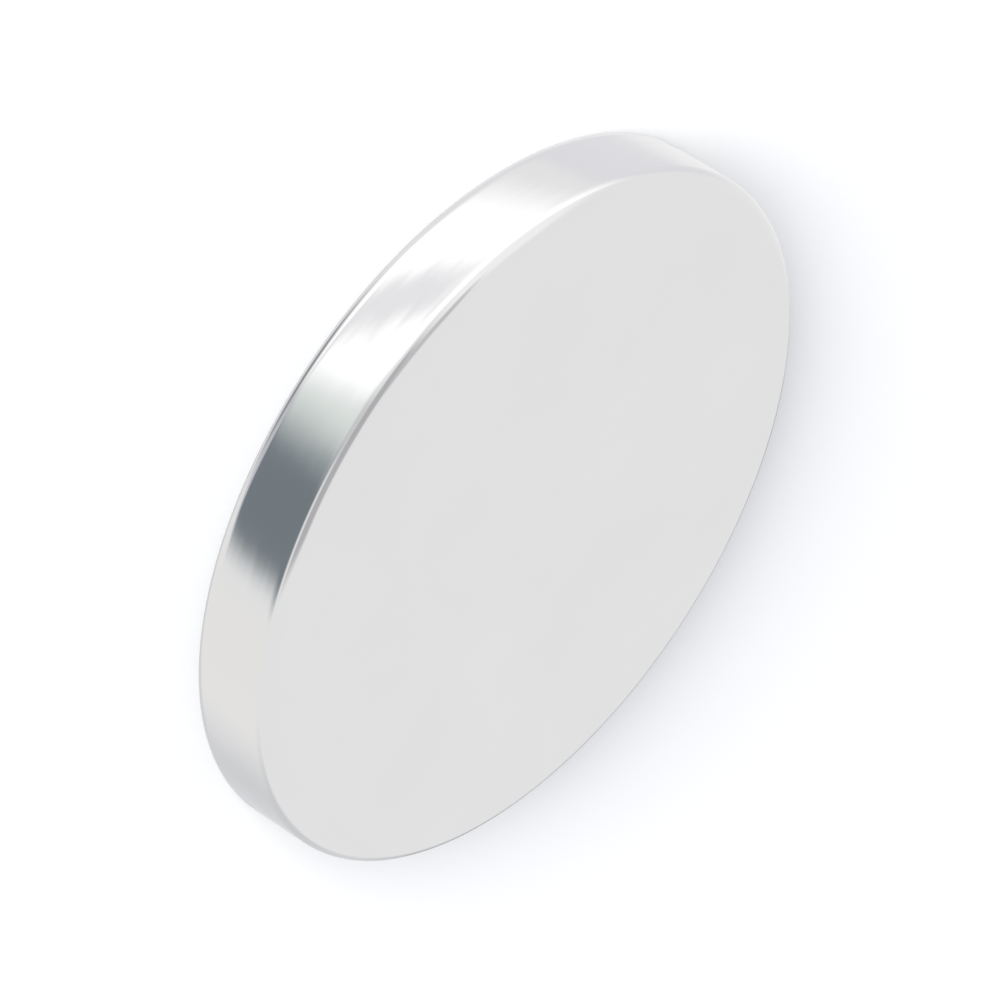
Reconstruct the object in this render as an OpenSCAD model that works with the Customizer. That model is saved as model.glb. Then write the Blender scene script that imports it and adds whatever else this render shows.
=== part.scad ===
// Disc magnet: one sintered disc, tumbled so that both rim edges are round, and
// nickel plated all over. Millimetres. The disc's axis is Z, and its lower pole
// face lies on z = 0 with its centre at the origin.

/* [Disc] */
// Diameter over the plated rim
diameter = 12; // [5:0.5:40]
// Height from one pole face to the other
thickness = 1.5; // [1:0.1:10]

/* [Edges] */
// Radius that tumbling and plating leave on both rim edges
edge_radius = 0.25; // [0.05:0.05:0.45]

/* [Hidden] */

// Smoothness of the disc's circle and of its edges
$fn = 180;

// Distance from the axis to the ground rim
rim_radius = diameter / 2;
// Distance from the axis at which the flat pole faces end
face_radius = rim_radius - edge_radius;
// Heights between which the rim is a straight cylinder
rim_bottom = edge_radius;
rim_top = thickness - edge_radius;

// Half section of the disc, from its axis out to the rim, with both corners round
module disc_section() {
    square([face_radius, thickness]);
    translate([0, rim_bottom]) square([rim_radius, rim_top - rim_bottom]);
    for (edge_height = [rim_bottom, rim_top])
        translate([face_radius, edge_height]) circle(r = edge_radius);
}

// The whole magnet, turned from its half section
module magnet_disc() {
    color([0.80, 0.80, 0.81]) rotate_extrude() disc_section();
}

magnet_disc();
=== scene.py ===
"""A nickel plated disc magnet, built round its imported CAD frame, with its studio.

Lengths are in metres unless a name ends in _MM. The disc's axis is Z and its lower
pole face lies on the floor at z = 0. Azimuths count from -Y towards +X.
"""

import math
from collections import namedtuple

import bmesh
import bpy
from bpy.props import FloatProperty, FloatVectorProperty, PointerProperty
from bpy.types import Operator, Panel, PropertyGroup
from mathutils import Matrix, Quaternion, Vector


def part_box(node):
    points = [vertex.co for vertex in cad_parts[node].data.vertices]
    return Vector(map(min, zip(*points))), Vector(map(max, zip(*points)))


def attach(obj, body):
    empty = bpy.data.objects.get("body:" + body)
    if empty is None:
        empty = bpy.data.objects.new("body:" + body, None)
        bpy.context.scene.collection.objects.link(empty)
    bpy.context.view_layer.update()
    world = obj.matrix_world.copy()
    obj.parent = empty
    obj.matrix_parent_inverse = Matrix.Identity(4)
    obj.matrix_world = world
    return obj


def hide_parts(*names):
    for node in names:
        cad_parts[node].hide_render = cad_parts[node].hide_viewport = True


bl_info = {
    "name": "Disc Magnet",
    "version": (1, 0, 0),
    "blender": (4, 5, 0),
    "location": "3D View > Sidebar > Magnet",
    "description": "Builds a nickel plated disc magnet and the studio it is seen in",
    "category": "Object",
}

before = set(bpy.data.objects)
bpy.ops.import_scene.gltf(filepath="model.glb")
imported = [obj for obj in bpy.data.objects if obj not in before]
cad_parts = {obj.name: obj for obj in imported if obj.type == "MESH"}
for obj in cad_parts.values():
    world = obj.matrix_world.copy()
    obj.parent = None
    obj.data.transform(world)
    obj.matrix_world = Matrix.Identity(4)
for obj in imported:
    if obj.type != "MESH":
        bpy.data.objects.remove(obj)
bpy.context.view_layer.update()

NODE = "magnet_disc"
BODY = "root"

MM = 0.001
MM_PER_M = 1000.0
MICRON = 1e-6

# How finely the disc is turned and its edges are rounded
TURN_STEPS = 384
EDGE_SEGMENTS = 16
# Width of the narrow band that keeps a flat face flat right up to its round edge
GUARD_WIDTH = 0.02 * MM
MERGE_DISTANCE = 0.0005 * MM


def cad_reach():
    """How far the CAD disc surely reaches from its axis, its top, and its edge radius."""
    low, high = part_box(NODE)
    reach = min(-low.x, high.x, -low.y, high.y)
    corners = [vertex.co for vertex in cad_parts[NODE].data.vertices]
    rim = max(corner.xy.length for corner in corners)
    face = max(corner.xy.length for corner in corners if corner.z > high.z - MICRON)
    return reach, high.z, rim - face


CAD_REACH, CAD_TOP, CAD_EDGE = cad_reach()


# Properties


class DiscSizes(PropertyGroup):
    """The disc's own sizes, which start as the CAD frame has them."""

    diameter: FloatProperty(
        name="Diameter",
        description="Diameter over the plated rim",
        default=2 * CAD_REACH,
        min=0.001,
        unit="LENGTH",
    )
    thickness: FloatProperty(
        name="Thickness",
        description="Height from one pole face to the other",
        default=CAD_TOP,
        min=0.0005,
        unit="LENGTH",
    )
    edge_radius: FloatProperty(
        name="Edge Radius",
        description="Radius of the tumbled edges between the rim and the faces",
        default=CAD_EDGE,
        min=0.00001,
        unit="LENGTH",
    )


class PlatingFinish(PropertyGroup):
    """How the nickel looks."""

    colour: FloatVectorProperty(
        name="Nickel",
        description="Colour of the bright nickel",
        default=(0.761, 0.761, 0.765),
        min=0.0,
        max=1.0,
        subtype="COLOR",
    )
    face_roughness: FloatProperty(
        name="Face Roughness",
        description="Roughness of the satin pole faces",
        default=0.24,
        min=0.0,
        max=1.0,
        subtype="FACTOR",
    )
    rim_roughness: FloatProperty(
        name="Rim Roughness",
        description="Roughness of the ground rim under its plating",
        default=0.13,
        min=0.0,
        max=1.0,
        subtype="FACTOR",
    )


class StudioSettings(PropertyGroup):
    """Where the camera stands, and the floor with its lamp."""

    camera_distance: FloatProperty(
        name="Camera Distance",
        description="From the camera to the middle of the disc",
        default=0.1495,
        min=0.01,
        unit="LENGTH",
    )
    camera_elevation: FloatProperty(
        name="Camera Elevation",
        description="Height of the camera above the pole face's plane",
        default=math.radians(28.8),
        subtype="ANGLE",
    )
    camera_roll: FloatProperty(
        name="Camera Roll",
        description="Roll that turns the disc's axis to the lower right",
        default=math.radians(122.8),
        subtype="ANGLE",
    )
    lens: FloatProperty(
        name="Lens",
        description="Focal length of the camera",
        default=353.0,
        min=10.0,
        unit="CAMERA",
    )
    floor_width: FloatProperty(
        name="Floor Width",
        description="Side of the square floor",
        default=0.6,
        min=0.05,
        unit="LENGTH",
    )
    floor_colour: FloatVectorProperty(
        name="Floor",
        description="Colour of the pale floor",
        default=(0.9, 0.9, 0.9),
        min=0.0,
        max=1.0,
        subtype="COLOR",
    )
    key_strength: FloatProperty(
        name="Key Light",
        description="Strength of the low soft lamp that draws the shadow",
        default=5.8,
        min=0.0,
    )
    key_azimuth: FloatProperty(
        name="Key Azimuth",
        description="Where the lamp stands, from the camera's side towards +X",
        default=math.radians(5.0),
        subtype="ANGLE",
    )
    key_elevation: FloatProperty(
        name="Key Elevation",
        description="Height of the lamp above the floor",
        default=math.radians(17.0),
        subtype="ANGLE",
    )


# Shader maths


class Signal:
    """A socket of a node tree. Arithmetic on it adds Math nodes to that tree."""

    def __init__(self, tree, socket=None):
        self.tree = tree
        self.socket = socket

    def add(self, kind, inputs=None, output=0, **settings):
        """Adds a node with its settings, fills or links its inputs, and returns an output."""
        node = self.tree.nodes.new(kind)
        for name, value in settings.items():
            setattr(node, name, value)
        for name, value in (inputs or {}).items():
            if isinstance(value, Signal):
                self.tree.links.new(value.socket, node.inputs[name])
            else:
                node.inputs[name].default_value = value
        return Signal(self.tree, node.outputs[output] if node.outputs else None)

    def output(self, name):
        """Another output of the node that this socket belongs to."""
        return Signal(self.tree, self.socket.node.outputs[name])

    def math(self, operation, *values):
        """A Math node on these values."""
        return self.add("ShaderNodeMath", dict(enumerate(values)), operation=operation)

    def __add__(self, other):
        return self.math("ADD", self, other)

    __radd__ = __add__

    def __sub__(self, other):
        return self.math("SUBTRACT", self, other)

    def __rsub__(self, other):
        return self.math("SUBTRACT", other, self)

    def __mul__(self, other):
        return self.math("MULTIPLY", self, other)

    __rmul__ = __mul__

    def __neg__(self):
        return self.math("MULTIPLY", self, -1.0)

    def __abs__(self):
        return self.math("ABSOLUTE", self)

    def rise(self, start, end):
        """0 up to start and 1 from end on, smooth between them; start may be the larger."""
        inputs = {"Value": self, "From Min": start, "From Max": end}
        return self.add("ShaderNodeMapRange", inputs, interpolation_type="SMOOTHSTEP")


def new_tree(owner):
    """Empties the node tree of a material or world, and returns a signal to build it with."""
    owner.use_nodes = True
    owner.node_tree.nodes.clear()
    return Signal(owner.node_tree)


# The plated disc


def turned_disc(sizes):
    """The disc's mesh: a half section spun about Z, with both rim edges bevelled round."""
    radius = sizes.diameter / 2
    section = [(0, 0), (radius, 0), (radius, sizes.thickness), (0, sizes.thickness)]
    disc = bmesh.new()
    points = [disc.verts.new((across, 0, height)) for across, height in section]
    lines = [disc.edges.new(pair) for pair in zip(points, points[1:])]
    bmesh.ops.spin(
        disc,
        geom=points + lines,
        axis=(0, 0, 1),
        cent=(0, 0, 0),
        angle=2 * math.pi,
        steps=TURN_STEPS,
        use_merge=True,
    )
    bmesh.ops.remove_doubles(disc, verts=disc.verts, dist=MERGE_DISTANCE)
    bmesh.ops.bevel(
        disc,
        geom=[edge for edge in disc.edges if is_rim_corner(edge, radius)],
        offset=sizes.edge_radius,
        segments=EDGE_SEGMENTS,
        profile=0.5,
        affect="EDGES",
        material=-1,
    )
    guard_flats(disc, sizes)
    bmesh.ops.recalc_face_normals(disc, faces=disc.faces)
    for face in disc.faces:
        face.smooth = True
    mesh = bpy.data.meshes.new("magnet")
    disc.to_mesh(mesh)
    disc.free()
    return mesh


def is_rim_corner(edge, radius):
    """True for the sharp edges that run round the disc between the rim and a face."""
    start, end = (vertex.co for vertex in edge.verts)
    level = abs(start.z - end.z) < MERGE_DISTANCE
    return level and min(start.xy.length, end.xy.length) > radius - MERGE_DISTANCE


def guard_flats(disc, sizes):
    """Adds a narrow band inside each flat's border, so that smooth shading leaves it flat."""
    for side in (0, sizes.thickness):
        fan = [face for face in disc.faces if is_level(face, side)]
        bmesh.ops.inset_region(disc, faces=fan, thickness=GUARD_WIDTH)
    low = sizes.edge_radius + GUARD_WIDTH
    for height in (low, sizes.thickness - low):
        bmesh.ops.bisect_plane(
            disc,
            geom=disc.verts[:] + disc.edges[:] + disc.faces[:],
            dist=MERGE_DISTANCE,
            plane_co=(0, 0, height),
            plane_no=(0, 0, 1),
        )


def is_level(face, height):
    """True for a face that lies in the plane at this height."""
    return all(abs(vertex.co.z - height) < MERGE_DISTANCE for vertex in face.verts)


# The rim swells a little at mid height. Away from there its surface falls back by this
# number times the square of the distance, in metres
CROWN = 60.0
# Where tumbling starts to smooth the ground lines and where they are gone, as shares of
# half the upright rim
WALL_FULL = 0.85
WALL_GONE = 1.15
# Ground lines: their depth, how many a millimetre there are along the rim and up it, and
# how much fine noise is in them
GRIND_DEPTH = 4.2 * MICRON
GRINDS_ROUND = 0.7
GRINDS_ACROSS = 4.6
GRIND_DETAIL = 0.8
# The rim's slow waves, the plating's orange peel and the grain of the faces
WAVE_DEPTH = 9.0 * MICRON
WAVES_PER_MM = 0.8
WAVE_DETAIL = 1.0
PEEL_DEPTH = 0.12 * MICRON
PEELS_PER_MM = 6.0
FACE_GRAIN_DEPTH = 0.05 * MICRON
FACE_GRAINS_PER_MM = 22.0
# How much the roughness wanders from place to place
ROUGHNESS_SPREAD = 0.06
# How much darker the nickel gets in its faint clouds
CLOUD_DEPTH = 0.04
CLOUDS_PER_MM = 0.55
CLOUD_DETAIL = 3.0
# The Mix node's sockets, by number, when it mixes colours
MIX_AMOUNT = 0
MIX_FIRST = 6
MIX_SECOND = 7
MIX_RESULT = 2


def noise(tree, position, scale, detail=2.0):
    """A noise from -0.5 to 0.5 at this many marks a millimetre."""
    inputs = {"Vector": position, "Scale": scale, "Detail": detail}
    return tree.add("ShaderNodeTexNoise", inputs) - 0.5


def scaled(tree, position, scale):
    """The position stretched by a factor along each axis."""
    return tree.add("ShaderNodeMapping", {"Vector": position, "Scale": scale})


def mixed(tree, amount, first, second, label=""):
    """A colour mixed from two others by an amount from 0 to 1."""
    sockets = {MIX_AMOUNT: amount, MIX_FIRST: first, MIX_SECOND: second}
    return tree.add(
        "ShaderNodeMix", sockets, output=MIX_RESULT, data_type="RGBA", label=label
    )


def finish_height(tree, place_mm, off_middle, on_rim, wall_reach):
    """The rim's crown, waves and ground lines, and the faint grain of the faces."""
    grinding = scaled(tree, place_mm, (GRINDS_ROUND, GRINDS_ROUND, GRINDS_ACROSS))
    on_wall = abs(off_middle).rise(wall_reach * WALL_GONE, wall_reach * WALL_FULL)
    height = off_middle * off_middle * -CROWN
    height = height + noise(tree, grinding, 1.0, GRIND_DETAIL) * GRIND_DEPTH * on_wall
    waves = noise(tree, place_mm, WAVES_PER_MM, WAVE_DETAIL)
    height = height + waves * WAVE_DEPTH * on_rim
    height = height + noise(tree, place_mm, PEELS_PER_MM) * PEEL_DEPTH
    grain = noise(tree, place_mm, FACE_GRAINS_PER_MM) * FACE_GRAIN_DEPTH
    return height + grain * (1 - on_rim)


def nickel_plating(sizes, finish):
    """Bright nickel: a satin grain on the faces, and ground lines and waves on the rim."""
    material = bpy.data.materials.new("nickel_plating")
    tree = new_tree(material)
    place = tree.add("ShaderNodeTexCoord", output="Object")
    place_mm = scaled(tree, place, (MM_PER_M,) * 3)
    parts = tree.add("ShaderNodeSeparateXYZ", {"Vector": place})
    across, along, height = (parts.output(axis) for axis in "XYZ")
    from_axis = tree.math("SQRT", across * across + along * along)
    flat_end = sizes.diameter / 2 - sizes.edge_radius
    on_rim = from_axis.rise(flat_end, flat_end + sizes.edge_radius / 2)

    off_middle = height - sizes.thickness / 2
    wall_reach = sizes.thickness / 2 - sizes.edge_radius
    relief = finish_height(tree, place_mm, off_middle, on_rim, wall_reach)
    normal = tree.add("ShaderNodeBump", {"Height": relief, "Distance": 1.0})

    rim_less_face = finish.rim_roughness - finish.face_roughness
    roughness = on_rim * rim_less_face + finish.face_roughness
    roughness = roughness + noise(tree, place_mm, WAVES_PER_MM) * ROUGHNESS_SPREAD

    nickel = Vector(finish.colour)
    clouds = noise(tree, place_mm, CLOUDS_PER_MM, CLOUD_DETAIL) + 0.5
    colour = mixed(tree, clouds, (*nickel, 1.0), (*nickel * (1 - CLOUD_DEPTH), 1.0))
    shader = tree.add(
        "ShaderNodeBsdfPrincipled",
        {
            "Base Color": colour,
            "Metallic": 1.0,
            "Roughness": roughness,
            "Normal": normal,
        },
    )
    tree.add("ShaderNodeOutputMaterial", {"Surface": shader})
    return material


# The studio

# A soft card that the metal mirrors, in front of the white backdrop. Its azimuths and
# elevations, in degrees, say where it starts to show, where it shows fully, where it starts
# to fade and where it is gone. Its slant is how far its azimuths shift for each degree above
# the elevation that the upright rim mirrors.
Card = namedtuple("Card", "name azimuths elevations slant colour")
RIM_MIRRORS = -28.8
# Azimuths past a whole turn, so that a card has no end on either side
ALL_ROUND = (-400, -390, 390, 400)
# A later card hangs in front of the ones before it
CARDS = [
    Card("lilac wall", (-150, -136, -108, -100), (-70, -60, 0, 12), 0, (0.925, 0.925, 0.955)),
    Card("warm wall", (62, 74, 108, 126), (-70, -60, -2, 10), 0, (1.015, 1.005, 0.98)),
    Card("dim corner", (108, 144, 158, 205), (-70, -60, 2, 14), -0.5, (0.755, 0.76, 0.78)),
    Card("far wall", (158, 172, 184, 194), (-22, -14, 0, 12), 0, (0.5, 0.505, 0.52)),
    Card("haze", (-104, -82, -44, -30), (-5, 8, 45, 58), 0, (1.14, 1.14, 1.14)),
    Card("top light", (-100, -68, -8, 8), (-70, -58, 2, 14), -0.5, (1.435, 1.435, 1.435)),
    Card("gap in the light", (-54, -42, -32, -20), (-62, -50, -26, -17), -1.5, (1.01, 1.005, 1.02)),
    Card("green wall", (-8, 8, 40, 50), (-70, -60, 0, 14), 0, (0.895, 0.955, 0.915)),
    Card("camera legs", (-9, 0, 12, 24), (-14, -2, 16, 26), 0, (0.75, 0.755, 0.755)),
    Card("dark card", (3, 26, 50, 64), (-62, -50, 4, 16), 0.06, (0.213, 0.25, 0.276)),
    Card("floor glow", (0, 14, 54, 68), (-84, -76, -56, -46), 0, (0.66, 0.66, 0.72)),
    Card("camera stand", (-34, -18, 46, 64), (18, 26, 50, 62), 0, (0.553, 0.553, 0.573)),
    Card("camera boom", (-66, -52, -22, -8), (36, 46, 58, 68), 0, (0.66, 0.66, 0.68)),
    Card("under side", ALL_ROUND, (-200, -190, -84, -70), 0, (0.32, 0.32, 0.34)),
]
HALF_TURN = 180.0
DEGREES = HALF_TURN / math.pi
# The backdrop, and the light from all round on the floor
WHITE = (1.0, 1.0, 1.0, 1.0)
AMBIENT = (0.62, 0.63, 0.66, 1.0)
# How wide the lamp is, seen from the disc, so that its shadow is soft
KEY_ANGLE = math.radians(36)
# Nearest and furthest distance that the camera sees, in metres
CLIP_START = 0.001
CLIP_END = 5.0


def card_mask(azimuth, elevation, card):
    """1 inside a card and 0 outside it, soft between, also where it spans the seam behind."""
    middle = (card.azimuths[0] + card.azimuths[-1]) / 2
    slanted = azimuth - (elevation - RIM_MIRRORS) * card.slant - middle
    off_middle = slanted.math("WRAP", slanted, HALF_TURN, -HALF_TURN)
    start, full, fading, gone = (angle - middle for angle in card.azimuths)
    across = off_middle.rise(start, full) * off_middle.rise(gone, fading)
    start, full, fading, gone = card.elevations
    return across * elevation.rise(start, full) * elevation.rise(gone, fading)


def light_tent(tree):
    """What metal sees in each direction: the white backdrop, with the soft cards in it."""
    direction = tree.add("ShaderNodeTexCoord", output="Generated")
    parts = tree.add("ShaderNodeSeparateXYZ", {"Vector": direction})
    azimuth = tree.math("ARCTAN2", parts.output("X"), -parts.output("Y")) * DEGREES
    elevation = tree.math("ARCSINE", parts.output("Z")) * DEGREES
    tone = WHITE
    for card in CARDS:
        mask = card_mask(azimuth, elevation, card)
        tone = mixed(tree, mask, tone, (*card.colour, 1.0), card.name)
    return tone


def studio_world():
    """A white backdrop to the camera and to metal, and plain pale light on the floor."""
    world = bpy.data.worlds.new("studio")
    tree = new_tree(world)
    camera_ray = tree.add("ShaderNodeLightPath", output="Is Camera Ray")
    mirrored = camera_ray.output("Is Glossy Ray")
    seen = tree.math("MAXIMUM", camera_ray, camera_ray.output("Is Transmission Ray"))
    seen = tree.math("MAXIMUM", seen, mirrored)
    backdrop = mixed(tree, mirrored, WHITE, light_tent(tree))
    colour = mixed(tree, seen, AMBIENT, backdrop)
    background = tree.add("ShaderNodeBackground", {"Color": colour, "Strength": 1.0})
    tree.add("ShaderNodeOutputWorld", {"Surface": background})
    # The world isn't sampled as a light, so that every ray that reaches it goes by its kind
    world.cycles.sampling_method = "NONE"
    bpy.context.scene.world = world


def floor_material(colour):
    """Plain matt paper."""
    material = bpy.data.materials.new("pale_floor")
    tree = new_tree(material)
    paper = tree.add("ShaderNodeBsdfDiffuse", {"Color": (*colour, 1.0)})
    tree.add("ShaderNodeOutputMaterial", {"Surface": paper})
    return material


def studio_floor(settings):
    """A square floor under the disc, which the metal looks past into the tent."""
    square = bmesh.new()
    bmesh.ops.create_grid(
        square, x_segments=1, y_segments=1, size=settings.floor_width / 2
    )
    mesh = bpy.data.meshes.new("floor")
    square.to_mesh(mesh)
    square.free()
    floor = bpy.data.objects.new("floor", mesh)
    floor.data.materials.append(floor_material(settings.floor_colour))
    floor.visible_glossy = False
    bpy.context.scene.collection.objects.link(floor)


def key_light(settings):
    """The low soft lamp on the camera's side, whose shadow falls past the disc."""
    lamp = bpy.data.lights.new("key", "SUN")
    lamp.energy = settings.key_strength
    lamp.angle = KEY_ANGLE
    light = bpy.data.objects.new("key", lamp)
    towards = towards_direction(settings.key_azimuth, settings.key_elevation)
    light.rotation_mode = "QUATERNION"
    light.rotation_quaternion = towards.to_track_quat("Z", "Y")
    light.visible_glossy = False
    bpy.context.scene.collection.objects.link(light)


def towards_direction(azimuth, elevation):
    """The unit vector at this azimuth, from -Y towards +X, and this elevation."""
    level = math.cos(elevation)
    return Vector(
        (level * math.sin(azimuth), -level * math.cos(azimuth), math.sin(elevation))
    )


def studio_camera(settings, centre):
    """The camera in front of the disc, rolled as the disc is seen."""
    camera = bpy.data.objects.new("camera", bpy.data.cameras.new("camera"))
    camera.data.lens = settings.lens
    camera.data.clip_start = CLIP_START
    camera.data.clip_end = CLIP_END
    back = towards_direction(0.0, settings.camera_elevation)
    upright = (-back).to_track_quat("-Z", "Y")
    camera.location = centre + back * settings.camera_distance
    camera.rotation_mode = "QUATERNION"
    camera.rotation_quaternion = upright @ Quaternion((0, 0, 1), settings.camera_roll)
    bpy.context.scene.collection.objects.link(camera)
    bpy.context.scene.camera = camera


# Operators


class MAGNET_OT_build_disc(Operator):
    """Build the plated disc on its CAD frame"""

    bl_idname = "magnet.build_disc"
    bl_label = "Build Disc"

    def execute(self, context):
        sizes = context.scene.disc_sizes
        disc = bpy.data.objects.new("magnet", turned_disc(sizes))
        disc.data.materials.append(nickel_plating(sizes, context.scene.plating_finish))
        context.scene.collection.objects.link(disc)
        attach(disc, BODY)
        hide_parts(NODE)
        return {"FINISHED"}


class MAGNET_OT_build_studio(Operator):
    """Build the floor, the lights and the camera"""

    bl_idname = "magnet.build_studio"
    bl_label = "Build Studio"

    def execute(self, context):
        settings = context.scene.studio_settings
        low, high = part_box(NODE)
        studio_world()
        studio_floor(settings)
        key_light(settings)
        studio_camera(settings, Vector((0, 0, (low.z + high.z) / 2)))
        context.scene.view_settings.view_transform = "Standard"
        return {"FINISHED"}


class VIEW3D_PT_disc_magnet(Panel):
    """Sizes, finish and studio of the disc magnet"""

    bl_label = "Disc Magnet"
    bl_space_type = "VIEW_3D"
    bl_region_type = "UI"
    bl_category = "Magnet"

    def draw(self, context):
        scene = context.scene
        groups = (scene.disc_sizes, scene.plating_finish, scene.studio_settings)
        for group in groups:
            box = self.layout.box()
            for name in group.__annotations__:
                box.prop(group, name)
        for operator in (MAGNET_OT_build_disc, MAGNET_OT_build_studio):
            self.layout.operator(operator.bl_idname)


GROUPS = {
    "disc_sizes": DiscSizes,
    "plating_finish": PlatingFinish,
    "studio_settings": StudioSettings,
}
CLASSES = [
    *GROUPS.values(),
    MAGNET_OT_build_disc,
    MAGNET_OT_build_studio,
    VIEW3D_PT_disc_magnet,
]


def register():
    for item in CLASSES:
        bpy.utils.register_class(item)
    for name, group in GROUPS.items():
        setattr(bpy.types.Scene, name, PointerProperty(type=group))


def unregister():
    for name in GROUPS:
        delattr(bpy.types.Scene, name)
    for item in reversed(CLASSES):
        bpy.utils.unregister_class(item)


def main():
    """Builds the disc and its studio."""
    register()
    bpy.ops.magnet.build_disc()
    bpy.ops.magnet.build_studio()


if __name__ == "__main__":
    main()
